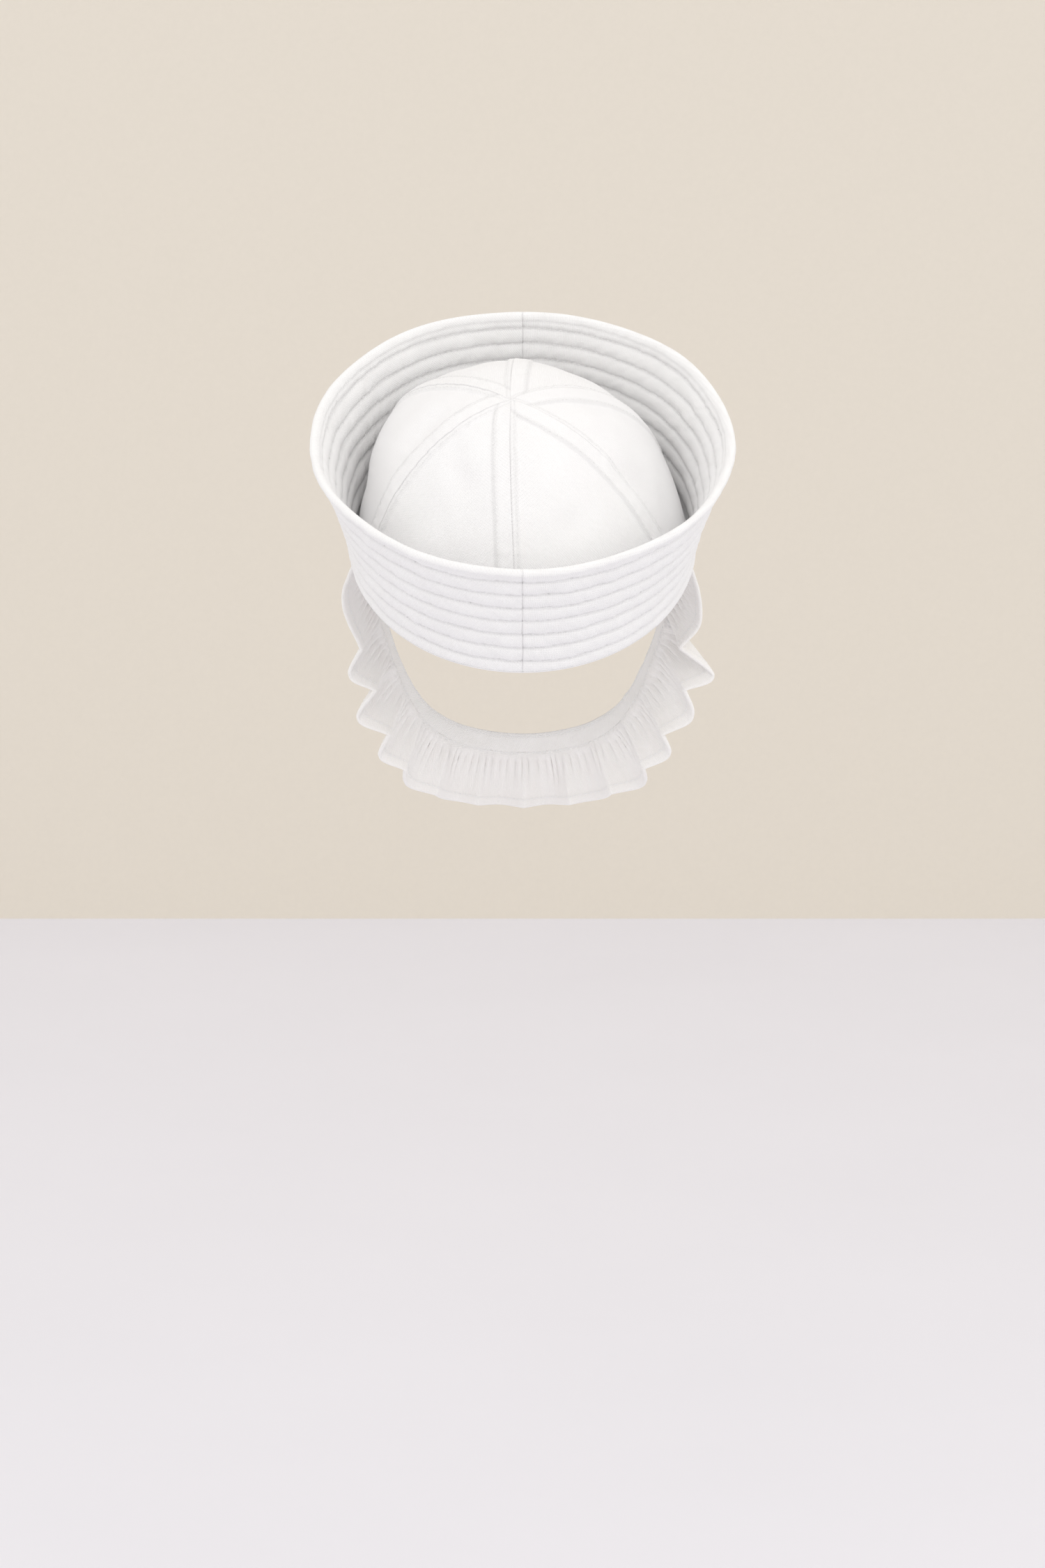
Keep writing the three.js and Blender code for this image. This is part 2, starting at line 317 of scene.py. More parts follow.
def cloth_shell(name, outer, inner, cloth_across, cloth_along, painted_groove_shade, material):
    """A closed wall of cloth between an outer and an inner grid of points, (columns, rows, 3).
    The attribute `cloth` keeps where each point lies on the flat cloth, in millimetres, and the
    other one holds painted shade, by how far it lies down in a seam or row of stitching, from 0 to 1."""
    columns, rows = outer.shape[:2]
    sheet_size = columns * rows
    number = np.arange(sheet_size).reshape(columns, rows)
    a, b, c, d = number[:-1, :-1], number[1:, :-1], number[1:, 1:], number[:-1, 1:]
    outer_faces = np.stack([a, b, c, d], -1).reshape(-1, 4)
    inner_faces = outer_faces[:, ::-1] + sheet_size
    rims = [number[:, 0], number[-1, :], number[::-1, -1], number[0, ::-1]]
    rim_faces = [
        np.stack([rim[1:], rim[:-1], rim[:-1] + sheet_size, rim[1:] + sheet_size], -1) for rim in rims
    ]
    faces = np.concatenate([outer_faces, inner_faces, *rim_faces])
    points = np.concatenate([outer.reshape(-1, 3), inner.reshape(-1, 3)]) * MM
    flat = np.stack([cloth_across, cloth_along, np.zeros_like(cloth_along)], -1).reshape(-1, 3)
    mesh = bpy.data.meshes.new(name)
    mesh.from_pydata(points.tolist(), [], faces.tolist())
    mesh.attributes.new("cloth", "FLOAT_VECTOR", "POINT").data.foreach_set(
        "vector", np.concatenate([flat, flat]).ravel()
    )
    depth = np.broadcast_to(painted_groove_shade, (columns, rows)).ravel()
    mesh.attributes.new("painted_groove_shade", "FLOAT", "POINT").data.foreach_set(
        "value", np.concatenate([depth, depth])
    )
    mesh.shade_smooth()
    mesh.materials.append(material)
    piece = bpy.data.objects.new(name, mesh)
    bpy.context.scene.collection.objects.link(piece)
    return piece


def twill_group():
    """Slanting twill ribs with crossing threads: Height for a bump, Shade for colour (painted groove shade,
    uneven slubs).
    """
    group = bpy.data.node_groups.new("twill_weave", "ShaderNodeTree")
    group.interface.new_socket("Cloth", in_out="INPUT", socket_type="NodeSocketVector")
    for name in ("Pitch", "Slant"):
        group.interface.new_socket(name, in_out="INPUT", socket_type="NodeSocketFloat")
    for name in ("Height", "Shade"):
        group.interface.new_socket(name, in_out="OUTPUT", socket_type="NodeSocketFloat")
    nodes = Nodes(group)
    given = nodes.add("NodeGroupInput").outputs
    wander = nodes.add("ShaderNodeTexNoise", Vector=given["Cloth"], Scale=0.35, Detail=2.0)
    drift = nodes.math("MULTIPLY", wander.outputs["Fac"], 0.9)
    turned = nodes.add(
        "ShaderNodeVectorRotate", {"rotation_type": "Z_AXIS"}, Vector=given["Cloth"], Angle=given["Slant"]
    )
    apart = nodes.add("ShaderNodeSeparateXYZ", Vector=turned.outputs[0]).outputs
    tight = nodes.math("DIVIDE", 2 * math.pi, given["Pitch"])
    across = nodes.math("MULTIPLY", nodes.math("ADD", apart["X"], drift), tight)
    along = nodes.math("MULTIPLY", nodes.math("MULTIPLY", apart["Y"], tight), 0.8)
    rib = nodes.math("SINE", across)
    crossing = nodes.math("SINE", nodes.math("ADD", along, across))
    slub = nodes.add("ShaderNodeTexNoise", Vector=given["Cloth"], Scale=2.2, Detail=3.0).outputs["Fac"]
    woven = nodes.math("MULTIPLY_ADD", crossing, 0.16, nodes.math("MULTIPLY_ADD", rib, 0.27, 0.35))
    height = nodes.math("MULTIPLY_ADD", slub, 0.3, woven)
    shade = nodes.math("MULTIPLY_ADD", slub, 0.5, nodes.math("MULTIPLY", woven, 0.5))
    nodes.add("NodeGroupOutput", Height=height, Shade=shade)
    return group


def mottle_group():
    """Soft uneven whiteness of washed cotton: Tone in large clouds, Lint in small pale flecks."""
    group = bpy.data.node_groups.new("washed_mottle", "ShaderNodeTree")
    for name, kind in (("Cloth", "NodeSocketVector"), ("Cloud size", "NodeSocketFloat")):
        group.interface.new_socket(name, in_out="INPUT", socket_type=kind)
    for name in ("Tone", "Lint"):
        group.interface.new_socket(name, in_out="OUTPUT", socket_type="NodeSocketFloat")
    nodes = Nodes(group)
    given = nodes.add("NodeGroupInput").outputs
    scale = nodes.math("DIVIDE", 1.0, given["Cloud size"])
    cloud = nodes.add("ShaderNodeTexNoise", Vector=given["Cloth"], Scale=scale, Detail=3.0).outputs["Fac"]
    tone = nodes.add("ShaderNodeMapRange", Value=cloud, From_Min=0.3, From_Max=0.7).outputs[0]
    fleck = nodes.add("ShaderNodeTexNoise", Vector=given["Cloth"], Scale=0.8, Detail=5.0).outputs["Fac"]
    lint = nodes.add("ShaderNodeMapRange", Value=fleck, From_Min=0.62, From_Max=0.74).outputs[0]
    nodes.add("NodeGroupOutput", Tone=tone, Lint=lint)
    return group


TWILL = twill_group()
MOTTLE = mottle_group()
COTTON_ROUGHNESS = 0.85
WEAVE_GROOVE_SHADE_TONE = 0.86
WEAVE_GROOVE_SHADE_SHARE = 0.5
LINT_TONE = 1.04
LINT_SHARE = 0.35
# How dark and how strong the painted shade in seams and rows of stitching is.
PAINTED_SHADE_TONE = 0.84
PAINTED_SHADE_SHARE = 0.8


def cotton(name, light, shade, pitch, slant, cloud_size, rib_depth):
    """White cotton twill from the two shared groups, with its own colours, rib pitch and slant."""
    material, shader, nodes = new_material(name, COTTON_ROUGHNESS)
    cloth = nodes.add("ShaderNodeAttribute", {"attribute_name": "cloth"}).outputs["Vector"]
    turned = math.radians(slant)
    weave = nodes.add("ShaderNodeGroup", {"node_tree": TWILL}, Cloth=cloth, Pitch=pitch, Slant=turned)
    washed = nodes.add("ShaderNodeGroup", {"node_tree": MOTTLE}, Cloth=cloth, i1=cloud_size)
    body = nodes.mix(washed.outputs["Tone"], shade, light)
    # Painted shade: the grooves between the twill's ribs are darkened in colour, and the slubs add real
    # unevenness of the yarn.
    weave_groove_shade = nodes.math("SUBTRACT", 1.0, weave.outputs["Shade"])
    woven = nodes.mix(nodes.math("MULTIPLY", weave_groove_shade, WEAVE_GROOVE_SHADE_SHARE), body, toned(shade, WEAVE_GROOVE_SHADE_TONE))
    lint = nodes.math("MULTIPLY", washed.outputs["Lint"], LINT_SHARE)
    linted = nodes.mix(lint, woven, toned(light, LINT_TONE))
    # Painted shade: along seams and rows of stitching the colour darkens towards the shade tone, where the
    # cloth dips.
    painted_groove_shade = nodes.add("ShaderNodeAttribute", {"attribute_name": "painted_groove_shade"}).outputs["Fac"]
    shadow = nodes.math("MULTIPLY", painted_groove_shade, PAINTED_SHADE_SHARE)
    finished = nodes.mix(shadow, linted, toned(shade, PAINTED_SHADE_TONE))
    rough = nodes.math("MULTIPLY_ADD", weave.outputs["Shade"], 0.18, 0.74)
    bump = nodes.add("ShaderNodeBump", Strength=1.0, Distance=rib_depth * MM, Height=weave.outputs["Height"])
    links = material.node_tree.links
    links.new(finished, shader.inputs["Base Color"])
    links.new(rough, shader.inputs["Roughness"])
    links.new(bump.outputs[0], shader.inputs["Normal"])
    shader.inputs["Sheen Weight"].default_value = 0.12
    shader.inputs["Sheen Roughness"].default_value = 0.5
    shader.inputs["Specular IOR Level"].default_value = 0.25
    return material


CROWN_WHITE = (0.96, 0.957, 0.96, 1)
CROWN_SHADE = (0.925, 0.918, 0.922, 1)
crown_cotton = cotton("crown_cotton", CROWN_WHITE, CROWN_SHADE, 1.0, 28, 26, 0.16)
crown_cotton_turned = cotton("crown_cotton_turned", CROWN_WHITE, CROWN_SHADE, 1.0, -24, 22, 0.16)

CROWN_EDGE_POLAR = math.degrees(math.acos(CROWN_EDGE_HEIGHT / CROWN_RISE))


def step_down(distance, edge, softness):
    """1 inside the edge and 0 beyond it, with a soft shoulder."""
    return ease(np.clip((edge + softness - distance) / (2 * softness), 0, 1))


def felled_rise(from_start, from_end, down):
    """The relief of the felled seams on a gore whose points lie so far from its two seams."""
    uneven = soft_noise(down / 2.6, np.full_like(from_start, 3.0), 11)
    pull = STITCH_PULL + STITCH_PULL_SPREAD * uneven
    raised_after = step_down(from_start, FELL_AFTER, FELL_SHOULDER_AFTER)
    raised_before = step_down(from_end, FELL_BEFORE, FELL_SHOULDER_BEFORE)
    rise = FELL_RISE * np.maximum(raised_after, raised_before)
    rise -= STITCH_DIP * pull * bump_line(from_start - FELL_ROW_AFTER, STITCH_DIP_HALF_WIDTH)
    rise -= STITCH_DIP * pull * bump_line(from_end - FELL_ROW_BEFORE, STITCH_DIP_HALF_WIDTH)
    rise -= SEAM_VALLEY * bump_line(from_start, 0.8) * np.clip(down / 12 - 0.5, 0, 1)
    rise += SEAM_LIP * bump_line(from_end, 1.5)
    pucker = soft_noise(down / 3.1, np.minimum(from_start, from_end) / 5 + 20, 12)
    near = np.exp(-np.minimum(from_start, np.abs(from_end - 4)) / SEAM_PUCKER_REACH)
    return rise + SEAM_PUCKER * pucker * near


def gore_columns(width):
    """Distances from a gore's first seam for its columns, closer together near both seams."""
    zone = np.minimum(SEAM_ZONE, 0.38 * width)
    near = np.linspace(0, 1, SEAM_COLUMNS) ** 1.25
    middle = np.linspace(0, 1, MIDDLE_COLUMNS + 2)[1:-1]
    return np.concatenate([near * zone, zone + middle * (width - 2 * zone), width - near[::-1] * zone])


def meridian_length(polar):
    """Distance down the crown from its apex, in millimetres, near enough for cloth and stitches."""
    return np.radians(polar) * MERIDIAN_RADIUS


def gore_lift(angle_from, angle_to, angle, polar):
    """The relief of the seams at points of the gore that lies between the two seam angles."""
    radius = CROWN_GIRTH_RADIUS * np.sin(np.radians(polar))
    from_start = np.radians(angle - angle_from) * radius
    from_end = np.radians(angle_to - angle) * radius
    return felled_rise(from_start, from_end, meridian_length(polar))


def seam_painted_shade(from_start, from_end):
    """Painted shade along a felled seam: grey lines at its fold, its two rows of stitching and its edge."""
    fold_line = 0.9 * bump_line(from_start, 0.7)
    near_row = 0.55 * bump_line(from_start - FELL_ROW_AFTER, 0.6)
    far_row = 0.55 * bump_line(from_end - FELL_ROW_BEFORE, 0.6)
    fell_edge = 0.6 * bump_line(from_end - FELL_BEFORE, 0.8)
    return np.clip(fold_line + near_row + far_row + fell_edge, 0, 1)


crown_stitch_rows = []
polar_rows = np.linspace(0, 1, GORE_ROWS) ** 1.06
polar_rows = CROWN_TIP_POLAR + polar_rows * (CROWN_EDGE_POLAR - CROWN_TIP_POLAR)
for number, (angle_from, angle_to, node) in enumerate(GORE_SEAMS):
    radius = CROWN_GIRTH_RADIUS * np.sin(np.radians(polar_rows))
    widths = np.radians(angle_to - angle_from) * radius
    across = np.stack([gore_columns(width) for width in widths], 1)
    angle = angle_from + np.degrees(across / radius)
    polar = np.broadcast_to(polar_rows, angle.shape)
    lift = gore_lift(angle_from, angle_to, angle, polar)
    outer = crown_point(angle, polar, lift)
    inner = crown_point(angle, polar, -CLOTH - INSIDE_RELIEF * lift)
    gore = cloth_shell(
        node.replace("crown_gore", "gore_cloth"),
        outer[::-1],
        inner[::-1],
        (across - widths / 2)[::-1],
        meridian_length(polar)[::-1],
        seam_painted_shade(across, widths - across)[::-1],
        crown_cotton if number % 2 else crown_cotton_turned,
    )
    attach(gore, "root")
    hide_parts(node)
    for side_of_seam, seam in ((FELL_ROW_AFTER, angle_from), (-FELL_ROW_BEFORE, angle_to)):
        polar_line = np.linspace(CROWN_STITCH_TOP, CROWN_EDGE_POLAR - 1, CROWN_STITCH_POINTS)
        angle_line = seam + np.degrees(side_of_seam / (CROWN_GIRTH_RADIUS * np.sin(np.radians(polar_line))))
        keep = (angle_line > angle_from) & (angle_line < angle_to)
        polar_line, angle_line = polar_line[keep], angle_line[keep]
        line_lift = gore_lift(angle_from, angle_to, angle_line, polar_line)
        base = crown_point(angle_line, polar_line, line_lift)
        proud = crown_point(angle_line, polar_line, line_lift + 1)
        crown_stitch_rows.append((base, proud - base))

# ---- Stitching ----
# White cotton thread in lockstitch: short stitches that lie in the dip they pull into the cloth,
# each end going down into its needle hole.

STITCH_LENGTH = 2.4
STITCH_GAP = 0.5
THREAD_RADIUS = 0.21
STITCH_STATIONS = 5
THREAD_SIDES = 6
# How high the middle of a stitch stands over its ends, and how deep its ends lie in the cloth.
STITCH_ARCH = 0.45
STITCH_SINK = 0.28
LOOK_AHEAD = 0.2
THREAD_WHITE = (0.95, 0.948, 0.945, 1)
THREAD_TONE = 0.88
THREAD_ROUGHNESS = 0.6
TWIST_FINENESS = 1500.0


def thread_material():
    """White cotton thread with the fine unevenness of its twist."""
    material, shader, nodes = new_material("cotton_thread", THREAD_ROUGHNESS)
    place = nodes.add("ShaderNodeTexCoord").outputs["Object"]
    twist = nodes.add("ShaderNodeTexNoise", Vector=place, Scale=TWIST_FINENESS, Detail=2.0).outputs["Fac"]
    colour = nodes.mix(twist, toned(THREAD_WHITE, THREAD_TONE), THREAD_WHITE)
    bump = nodes.add("ShaderNodeBump", Strength=0.6, Distance=0.1 * MM, Height=twist)
    material.node_tree.links.new(colour, shader.inputs["Base Color"])
    material.node_tree.links.new(bump.outputs[0], shader.inputs["Normal"])
    return material


THREAD = thread_material()


def along_line_at(distance, travelled, values):
    """Values along a line, read at distances from its start; `travelled` is each value's distance."""
    return np.stack([np.interp(distance, travelled, values[:, k]) for k in range(3)], -1)


def stitching(name, rows):
    """Rows of stitches as one piece. Each row is a line of points and the way out of the cloth."""
    rings = []
    for line, out in rows:
        steps = np.linalg.norm(np.diff(line, axis=0), axis=1)
        travelled = np.concatenate([[0], np.cumsum(steps)])
        out = out / np.linalg.norm(out, axis=1, keepdims=True)
        pitch = STITCH_LENGTH + STITCH_GAP
        count = int(travelled[-1] // pitch)
        share = np.linspace(0, 1, STITCH_STATIONS)
        at = (np.arange(count)[:, None] * pitch + STITCH_GAP + share * STITCH_LENGTH).ravel()
        place = along_line_at(at, travelled, line)
        up = along_line_at(at, travelled, out)
        side = np.cross(up, along_line_at(at + LOOK_AHEAD, travelled, line) - place)
        side /= np.maximum(np.linalg.norm(side, axis=1, keepdims=True), 1e-9)
        arch = np.tile(np.sin(np.pi * share), count)[:, None]
        centre = place + up * (arch * STITCH_ARCH - STITCH_SINK)
        turn = np.linspace(0, 2 * np.pi, THREAD_SIDES, endpoint=False)[:, None]
        round_the_thread = side[:, None] * np.cos(turn) + up[:, None] * np.sin(turn)
        rings.append(centre[:, None] + THREAD_RADIUS * round_the_thread)
    rings = np.concatenate(rings)
    number = np.arange(rings.shape[0] * THREAD_SIDES).reshape(-1, STITCH_STATIONS, THREAD_SIDES)
    here, there = number[:, :-1], number[:, 1:]
    faces = np.stack([here, np.roll(here, -1, 2), np.roll(there, -1, 2), there], -1).reshape(-1, 4)
    mesh = bpy.data.meshes.new(name)
    mesh.from_pydata((rings.reshape(-1, 3) * MM).tolist(), [], faces.tolist())
    mesh.shade_smooth()
    mesh.materials.append(THREAD)
    piece = bpy.data.objects.new(name, mesh)
    bpy.context.scene.collection.objects.link(piece)
    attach(piece, "root")
    return piece


stitching("crown_stitching", crown_stitch_rows)

# ---- Brim ----
# A tall band of two layers of cotton drill, cut in two halves that meet in a seam at the front and
# the back. Seven rows of stitching go all round it, so it puffs between the rows and puckers at
# them; its top edge is a soft fold, and its foot turns in under the crown, where it is sewn on.

OPENING_ACROSS = 88
OPENING_LENGTH = 102
RIM_ACROSS = 107
RIM_LENGTH = 108
BRIM_HEIGHT = 71
BRIM_THICKNESS = 2.5
FLARE_POWER = 1.6
BRIM_MEAN_RADIUS = 104
HALF_ROUND = math.pi * BRIM_MEAN_RADIUS
FOLD_RADIUS = 2.2
RIM_RADIUS = 1.4
FOOT_WIDTH = 6.2
FOOT_HEIGHT = 2.4
FOOT_ROUNDING = 1.6
FOOT_LIFT = 0.15
FIRST_ROW_HEIGHT = 8.1
BAND_WIDTH = 9.07
BRIM_ROWS = [FIRST_ROW_HEIGHT + BAND_WIDTH * row for row in range(7)]
QUILT_DIP = 1.1
QUILT_DIP_HALF_WIDTH = 0.95
QUILT_PUFF = 0.75
PUCKER = 0.5
BROAD_WAVES = 0.3
ROW_TUG = 0.8
ROW_TUG_SPREAD = 0.35
ROW_WANDER = 0.5
# The roll along the rim and the inner edge row, and how far each lies below the rim's top.
RIM_ROLL = 0.8
RIM_ROLL_BELOW = 2.2
RIM_ROLL_HALF_WIDTH = 1.8
RIM_EDGE_ROW = 0.5
RIM_EDGE_ROW_BELOW = 4.2
SEAM_ROLL = 0.4
SEAM_LINE_HALF_WIDTH = 0.6
# How dark the painted shade along the brim's front and back seams is.
BRIM_SEAM_SHADE = 0.5
# The inner layer puckers in its own way: its noise is read further along and from another seed.
INNER_LAYER_SHIFT = 300
INNER_LAYER_SEED = 9
BRIM_COLUMNS = 330
FACE_ROWS = 92
BRIM_SEAM_ZONE = 4
BRIM_HALVES = [("brim_right", 0, 180, 31), ("brim_left", 180, 360, 47)]


def brim_point(angle, height, inset):
    """Points of the brim, `inset` millimetres inside its smooth outer face."""
    share = np.clip(height / BRIM_HEIGHT, 0, 1) ** FLARE_POWER
    across = OPENING_ACROSS + (RIM_ACROSS - OPENING_ACROSS) * share - inset
    length = OPENING_LENGTH + (RIM_LENGTH - OPENING_LENGTH) * share - inset
    turn = np.radians(angle)
    return lean(np.stack([across * np.sin(turn), -length * np.cos(turn), height], -1))


def row_height(row, along):
    """Height of a row of stitching, which wanders a little as it goes round."""
    return BRIM_ROWS[row] + ROW_WANDER * soft_noise(along / 24, np.full_like(along, 3.7 * row), 21)


def quilting(height, along, seed):
    """How far the cloth puffs out between the rows of stitching and dips and puckers at them."""
    nearest = np.full(height.shape, 99.0)
    for row in range(len(BRIM_ROWS)):
        nearest = np.minimum(nearest, np.abs(height - row_height(row, along)))
    puff = QUILT_PUFF * (1 - np.exp(-((nearest / 2.6) ** 2)))
    tug = ROW_TUG + ROW_TUG_SPREAD * soft_noise(along / 1.7, height / 6, seed)
    dip = QUILT_DIP * tug * bump_line(nearest, QUILT_DIP_HALF_WIDTH)
    slanting = soft_noise(along / 3.4 + height / 5, height / 4.2, seed + 1)
    broad = soft_noise(along / 9 - height / 16, height / 9, seed + 2)
    near_row = 0.35 + 0.65 * np.exp(-nearest / 2.2)
    return puff - dip + PUCKER * slanting * near_row + BROAD_WAVES * broad


def row_painted_shade(height, along):
    """Painted shade: a grey line along each row of stitching, where the cloth dips."""
    rows = range(len(BRIM_ROWS))
    return np.max([bump_line(height - row_height(row, along), 0.75) for row in rows], axis=0)


def brim_sway(angle, height):
    """Slow waves of the soft brim, none at its foot and most at its rim."""
    turn = np.radians(angle)
    wave = 0.7 * np.sin(2 * turn + 0.8) + 0.5 * np.sin(5 * turn + 2.1) + 0.35 * np.sin(9 * turn)
    return wave * np.clip(height / BRIM_HEIGHT, 0, 1) ** 1.5


BRIM_WHITE = (0.965, 0.962, 0.96, 1)
BRIM_SHADE = (0.935, 0.93, 0.928, 1)
brim_cottons = {
    "brim_right": cotton("brim_cotton_right", BRIM_WHITE, BRIM_SHADE, 0.95, 4, 18, 0.16),
    "brim_left": cotton("brim_cotton_left", BRIM_WHITE, BRIM_SHADE, 0.95, 38, 18, 0.16),
}

# The wall's section: a height and an inset for each row of points. Both sides run from the tip of
# the foot to the rim's top, the outer one round the lower fold and up the face.
lower_fold = np.radians(np.linspace(90, 0, 9)[1:])
fold_heights = FOLD_RADIUS * (1 - np.sin(lower_fold))
fold_insets = FOLD_RADIUS * (1 - np.cos(lower_fold))
face_heights = np.linspace(FOLD_RADIUS, BRIM_HEIGHT - RIM_RADIUS, FACE_ROWS)
rim_turn = np.radians(np.linspace(0, 90, 7)[1:])
rim_heights = BRIM_HEIGHT - RIM_RADIUS + RIM_RADIUS * np.sin(rim_turn)
rim_insets = BRIM_THICKNESS / 2 * (1 - np.cos(rim_turn))
foot_heights = [FOOT_HEIGHT / 2, FOOT_LIFT]
foot_insets = [FOOT_WIDTH, FOOT_WIDTH - FOOT_ROUNDING]
outer_height = np.concatenate([foot_heights, fold_heights, face_heights, rim_heights])
outer_inset = np.concatenate([foot_insets, fold_insets, np.zeros(FACE_ROWS), rim_insets])
foot_rows = len(fold_heights) + 2
inner_foot = np.linspace(FOOT_HEIGHT / 2, FOOT_HEIGHT, foot_rows)
inner_foot_inset = np.linspace(FOOT_WIDTH, BRIM_THICKNESS, foot_rows)
inner_height = np.concatenate([inner_foot, np.maximum(face_heights, FOOT_HEIGHT), rim_heights])
inner_face_inset = np.full(FACE_ROWS, BRIM_THICKNESS)
inner_inset = np.concatenate([inner_foot_inset, inner_face_inset, BRIM_THICKNESS - rim_insets])


def quilted_share(heights, start, run):
    """How much of the quilting shows at each height: none at the foot or at the rim's top."""
    return np.clip((heights - start) / run, 0, 1) * np.clip((BRIM_HEIGHT - heights) / 2.5, 0, 1)


outer_share = quilted_share(outer_height, 1, 3)
inner_share = quilted_share(inner_height, 6, 4)
rolled = RIM_ROLL * bump_line(BRIM_HEIGHT - outer_height - RIM_ROLL_BELOW, RIM_ROLL_HALF_WIDTH)
edge_row = RIM_EDGE_ROW * bump_line(BRIM_HEIGHT - inner_height - RIM_EDGE_ROW_BELOW, 0.8)

# Columns run from seam to seam, closer together near both.
near_seam = np.linspace(0, BRIM_SEAM_ZONE, 9)[:-1]
between = np.linspace(0, HALF_ROUND, BRIM_COLUMNS)
between = between[(between > BRIM_SEAM_ZONE) & (between < HALF_ROUND - BRIM_SEAM_ZONE)]
along_line = np.concatenate([near_seam, between, HALF_ROUND - near_seam[::-1]])
seam_apart = np.minimum(along_line, HALF_ROUND - along_line)[:, None]
seam_line = bump_line(seam_apart, SEAM_LINE_HALF_WIDTH)

brim_stitch_rows = []
for node, angle_from, angle_to, seed in BRIM_HALVES:
    angle_line = angle_from + (angle_to - angle_from) * along_line / HALF_ROUND
    grid = (len(along_line), len(outer_height))
    angle = np.broadcast_to(angle_line[:, None], grid)
    along = np.broadcast_to(along_line[:, None], grid)
    height = np.broadcast_to(outer_height, grid)
    quilted = (quilting(height, along, seed) - SEAM_ROLL * seam_line) * outer_share
    outer = brim_point(angle, height, outer_inset - quilted - rolled - brim_sway(angle, height))
    # Painted shade along the rows of stitching and the two seams.
    painted_groove_shade = np.maximum(row_painted_shade(height, along), BRIM_SEAM_SHADE * seam_line)
    inner_rows = np.broadcast_to(inner_height, grid)
    quilted = quilting(inner_rows, along + INNER_LAYER_SHIFT, seed + INNER_LAYER_SEED)
    quilted = (quilted - SEAM_ROLL * seam_line) * inner_share
    inner = brim_point(angle, inner_rows, inner_inset + quilted - edge_row - brim_sway(angle, inner_rows))
    half = cloth_shell(f"{node}_cloth", outer, inner, along, height, painted_groove_shade, brim_cottons[node])
    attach(half, "root")
    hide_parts(node)

    stitch_along = np.arange(1.2, HALF_ROUND - 1, 1.0)
    stitch_angle = angle_from + (angle_to - angle_from) * stitch_along / HALF_ROUND
    for row in range(len(BRIM_ROWS)):
        row_at = row_height(row, stitch_along)
        sway = brim_sway(stitch_angle, row_at)
        dip = quilting(row_at, stitch_along, seed)
        face_line = brim_point(stitch_angle, row_at, -dip - sway)
        way_out = brim_point(stitch_angle, row_at, -dip - sway - 1) - face_line
        brim_stitch_rows.append((face_line, way_out))
        row_inside = row_height(row, stitch_along + INNER_LAYER_SHIFT)
        dip = quilting(row_inside, stitch_along + INNER_LAYER_SHIFT, seed + INNER_LAYER_SEED)
        face_line = brim_point(stitch_angle, row_inside, BRIM_THICKNESS + dip - sway)
        way_out = brim_point(stitch_angle, row_inside, BRIM_THICKNESS + dip - sway + 1) - face_line
        brim_stitch_rows.append((face_line, way_out))

stitching("brim_stitching", brim_stitch_rows)

# ---- Strap ----
# A folded strip of the same cotton, sewn in at both sides of the cap and hanging in a loop behind
# the neck. It is stitched along both edges.

# Half of its route, from the end inside the cap to the middle of the nape: (side, back, height).
STRAP_ROUTE = [
    (74.6, 15, 24),
    (76.2, 21.5, 12),
    (78, 24, 0),
    (78.5, 25.5, -16),
    (76.5, 26.5, -34),
    (72.5, 27.5, -52),
    (67, 29, -69),
    (60, 32, -86),
    (50.5, 37.5, -101),
    (38, 44.5, -111),
    (20, 51, -117),
    (0, 53, -119),
]
NECK_AXIS_BACK = 8
STRAP_WIDTH = 12
STRAP_THICKNESS = 1.6
STRAP_CLEAR = 0.3
# The strap's two rows of stitching: how far in from its edges, and how deep they pull.
EDGE_ROW_INSET = 1.6
EDGE_ROW_DIP = 0.22
STRAP_WRINKLE = 0.35
# How dark the painted shade along the strap's rows of stitching is.
STRAP_ROW_SHADE = 0.6
STRAP_COLUMNS = 380
STRAP_ROWS = 22


def smooth_route(points, per_span):
    """A centripetal Catmull-Rom curve through the points, which spaces bends evenly."""
    points = np.array(points, float)
    ends = np.vstack([2 * points[0] - points[1], points, 2 * points[-1] - points[-2]])
    curve = []
    for p0, p1, p2, p3 in zip(ends, ends[1:], ends[2:], ends[3:]):
        t1 = np.linalg.norm(p1 - p0) ** 0.5
        t2 = t1 + np.linalg.norm(p2 - p1) ** 0.5
        t3 = t2 + np.linalg.norm(p3 - p2) ** 0.5
        t = np.linspace(t1, t2, per_span, endpoint=False)[:, None]
        a1 = p0 + (p1 - p0) * t / t1
        a2 = p1 + (p2 - p1) * (t - t1) / (t2 - t1)
        a3 = p2 + (p3 - p2) * (t - t2) / (t3 - t2)
        b1 = a1 + (a2 - a1) * t / t2
        b2 = a2 + (a3 - a2) * (t - t1) / (t3 - t1)
        curve.append(b1 + (b2 - b1) * (t - t1) / (t2 - t1))
    return np.vstack([*curve, points[-1:]])


left_half = [(-side, back, height) for side, back, height in STRAP_ROUTE]
right_half = [(side, back, height) for side, back, height in STRAP_ROUTE[-2::-1]]
route = smooth_route(left_half + right_half, 24)
route_travel = np.concatenate([[0], np.cumsum(np.linalg.norm(np.diff(route, axis=0), axis=1))])
ROUTE_LENGTH = route_travel[-1]


def along_route(distance):
    """Places on the strap's route, by distance from its left end."""
    return along_line_at(distance, route_travel, route)


def unit(vectors):
    """The same directions, each one long."""
    return vectors / np.linalg.norm(vectors, axis=-1, keepdims=True)


